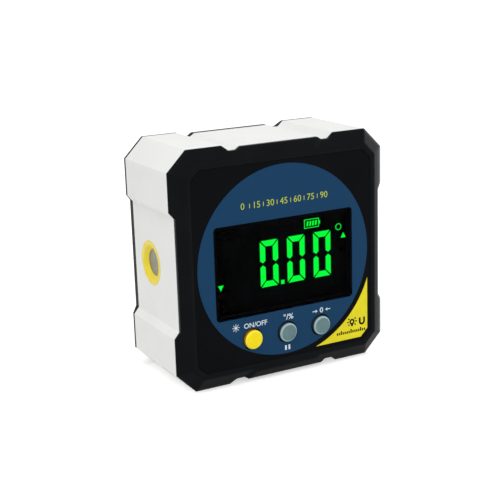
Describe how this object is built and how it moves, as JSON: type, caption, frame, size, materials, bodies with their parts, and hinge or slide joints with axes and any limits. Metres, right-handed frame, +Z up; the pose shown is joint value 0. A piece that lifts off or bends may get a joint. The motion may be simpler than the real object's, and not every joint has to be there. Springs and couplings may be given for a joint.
{
  "type": "digital angle gauge",
  "caption": "Square digital angle gauge with a backlit display, push buttons, magnets in its edges and a battery door at the back.",
  "frame": {"origin": "on the surface that the gauge stands on, below the middle of its bounding box", "axes": "+X to the right along the face, +Y from the face to the back, +Z up"},
  "size_m": [0.06, 0.031, 0.06],
  "materials": {
    "white_shell": "fine satin grain",
    "black_bezel": "satin black",
    "black_cover": "fine grain",
    "black_film": "smooth printed film",
    "blue_label": "printed, metallic blue",
    "yellow_label": "printed",
    "clear_window": "clear and glossy",
    "display_glass": "dark",
    "light_guide": "milky",
    "contact_rubber": "striped",
    "board": "lacquered",
    "chip": "moulded",
    "metal_can": "bright",
    "yellow_button": "satin",
    "grey_button": "satin",
    "magnet": "nickel plated",
    "yellow_ring": "satin",
    "screw": "zinc plated",
    "cell_jacket": "wrapped in a plain sleeve",
    "contact": "nickel plated"
  },
  "bodies": {
    "housing": {"body_shell": "white_shell", "magnet_left": "magnet", "magnet_right": "magnet", "magnet_base": "magnet", "magnet_top": "magnet", "magnet_ring_left": "yellow_ring", "magnet_ring_right": "yellow_ring", "magnet_ring_base": "yellow_ring", "front_bezel": "black_bezel", "face_film": "black_film", "dial_label": "blue_label", "corner_label": "yellow_label", "display_window": "clear_window", "display_panel": "display_glass", "light_guide": "light_guide", "contact_strip": "contact_rubber", "main_board": "board", "key_switches": "metal_can", "controller_chip": "chip", "tilt_sensor": "chip", "timing_crystal": "metal_can", "board_screws": "screw", "case_screws": "screw", "rear_cover": "black_cover", "battery_upper": "cell_jacket", "battery_lower": "cell_jacket", "contact_positive": "contact", "contact_negative": "contact", "contact_bridge": "contact", "contact_springs": "contact"},
    "power_button": {"button_power": "yellow_button"},
    "hold_button": {"button_hold": "grey_button"},
    "zero_button": {"button_zero": "grey_button"},
    "door": {"battery_door": "black_cover"}
  },
  "joints": [
    {"name": "power_press", "type": "slide", "parent": "housing", "child": "power_button", "axis": [0, 1, 0], "range_m": [0, 0.0005], "stiffness_N_per_m": 1500},
    {"name": "hold_press", "type": "slide", "parent": "housing", "child": "hold_button", "axis": [0, 1, 0], "range_m": [0, 0.0005], "stiffness_N_per_m": 1500},
    {"name": "zero_press", "type": "slide", "parent": "housing", "child": "zero_button", "axis": [0, 1, 0], "range_m": [0, 0.0005], "stiffness_N_per_m": 1500},
    {"name": "door_hinge", "type": "hinge", "parent": "housing", "child": "door", "pos_m": [0, 0.0153, 0.0181], "axis": [-1, 0, 0], "range_deg": [0, 35]}
  ]
}
